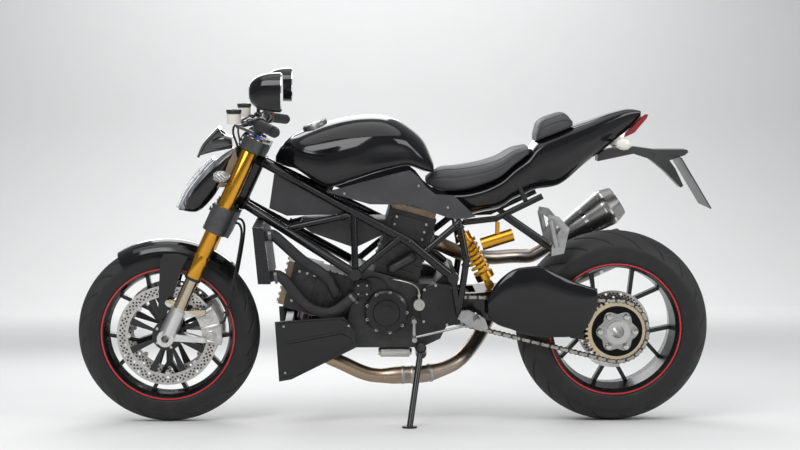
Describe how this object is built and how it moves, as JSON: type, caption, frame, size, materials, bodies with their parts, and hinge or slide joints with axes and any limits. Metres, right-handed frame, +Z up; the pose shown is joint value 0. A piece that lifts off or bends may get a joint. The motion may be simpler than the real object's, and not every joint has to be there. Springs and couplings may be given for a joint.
{
  "type": "naked sport motorcycle",
  "caption": "Naked sport motorcycle leaning on its folding side stand, with open tube frame, V engine, chain drive, steering fork with handlebar, turning wheels and stacked mufflers.",
  "frame": {"origin": "on the road under the middle of the parked motorcycle's box", "axes": "+X towards the front wheel, +Y to the rider's left, +Z up; the machine leans to +Y on its side stand"},
  "size_m": [2.095, 0.969, 1.2188],
  "materials": {
    "frame_trellis": "gloss black",
    "rear_subframe": "gloss black",
    "engine_crankcase": "cast grey",
    "engine_cylinders": "cast grey",
    "cam_covers": "satin tan",
    "engine_side_covers": "satin black",
    "radiators": "dark fins",
    "coolant_hoses": "matt",
    "belly_panels": "gloss black",
    "airbox": "matt",
    "side_panels": "satin dark grey",
    "fuel_tank": "gloss black",
    "rider_seat": "soft, matt",
    "passenger_pad": "soft, matt",
    "tail_fairing": "gloss black",
    "tail_light": "clear red",
    "plate_holder": "matt black",
    "shock_absorber": "gold",
    "shock_spring": "yellow",
    "swingarm": "gloss black",
    "rear_caliper": "satin",
    "drive_chain": "bright",
    "exhaust_pipes": "heat tinted",
    "mufflers": "brushed",
    "foot_pegs": "satin",
    "foot_controls": "bright",
    "sump_canister": "satin silver",
    "side_stand": "satin black",
    "fork_outer_tubes": "gold",
    "fork_lowers": "silver",
    "triple_clamps": "dark grey",
    "front_axle": "bright",
    "front_calipers": "satin silver",
    "brake_hoses": "braided",
    "front_fender": "gloss black",
    "headlight_shell": "gloss black",
    "headlight_lens": "clear",
    "instruments": "matt",
    "front_indicators": "clear",
    "handlebar": "satin black",
    "grips": "matt",
    "hand_controls": "satin dark",
    "mirrors": "gloss black",
    "mirror_glass": "mirror",
    "front_tyre": "rubber",
    "front_rim": "gloss black",
    "front_discs": "drilled",
    "rear_tyre": "rubber",
    "rear_rim": "gloss black",
    "rear_axle": "bright",
    "rear_sprocket": "brass anodised",
    "rear_disc": "drilled"
  },
  "bodies": {
    "chassis": {"frame_trellis": "frame_trellis", "rear_subframe": "rear_subframe", "engine_crankcase": "engine_crankcase", "engine_cylinders": "engine_cylinders", "cam_covers": "cam_covers", "engine_side_covers": "engine_side_covers", "radiators": "radiators", "coolant_hoses": "coolant_hoses", "belly_panels": "belly_panels", "airbox": "airbox", "side_panels": "side_panels", "fuel_tank": "fuel_tank", "rider_seat": "rider_seat", "passenger_pad": "passenger_pad", "tail_fairing": "tail_fairing", "tail_light": "tail_light", "plate_holder": "plate_holder", "shock_absorber": "shock_absorber", "shock_spring": "shock_spring", "swingarm": "swingarm", "rear_caliper": "rear_caliper", "drive_chain": "drive_chain", "exhaust_pipes": "exhaust_pipes", "mufflers": "mufflers", "foot_pegs": "foot_pegs", "foot_controls": "foot_controls", "sump_canister": "sump_canister"},
    "steering": {"fork_outer_tubes": "fork_outer_tubes", "fork_lowers": "fork_lowers", "triple_clamps": "triple_clamps", "front_axle": "front_axle", "front_calipers": "front_calipers", "brake_hoses": "brake_hoses", "front_fender": "front_fender", "headlight_shell": "headlight_shell", "headlight_lens": "headlight_lens", "instruments": "instruments", "front_indicators": "front_indicators", "handlebar": "handlebar", "grips": "grips", "hand_controls": "hand_controls", "mirrors": "mirrors", "mirror_glass": "mirror_glass"},
    "front_wheel": {"front_tyre": "front_tyre", "front_rim": "front_rim", "front_discs": "front_discs"},
    "rear_wheel": {"rear_tyre": "rear_tyre", "rear_rim": "rear_rim", "rear_axle": "rear_axle", "rear_sprocket": "rear_sprocket", "rear_disc": "rear_disc"},
    "side_stand": {"side_stand": "side_stand"}
  },
  "joints": [
    {"name": "steer", "type": "hinge", "parent": "chassis", "child": "steering", "pos_m": [0.48565, -0.04188, 0.80014], "axis": [-0.4147, 0.1266, 0.9011], "range_deg": [-28, 28]},
    {"name": "front_wheel_spin", "type": "hinge", "parent": "steering", "child": "front_wheel", "pos_m": [0.7475, -0.11245, 0.29801], "axis": [0, 0.9903, -0.1392], "continuous": true},
    {"name": "rear_wheel_spin", "type": "hinge", "parent": "chassis", "child": "rear_wheel", "pos_m": [-0.7275, -0.10967, 0.31781], "axis": [0, 0.9903, -0.1392], "continuous": true},
    {"name": "side_stand_fold", "type": "hinge", "parent": "chassis", "child": "side_stand", "pos_m": [-0.0825, 0.02159, 0.24584], "axis": [0.0527, 0.9346, 0.3516], "range_deg": [0, 97]}
  ]
}
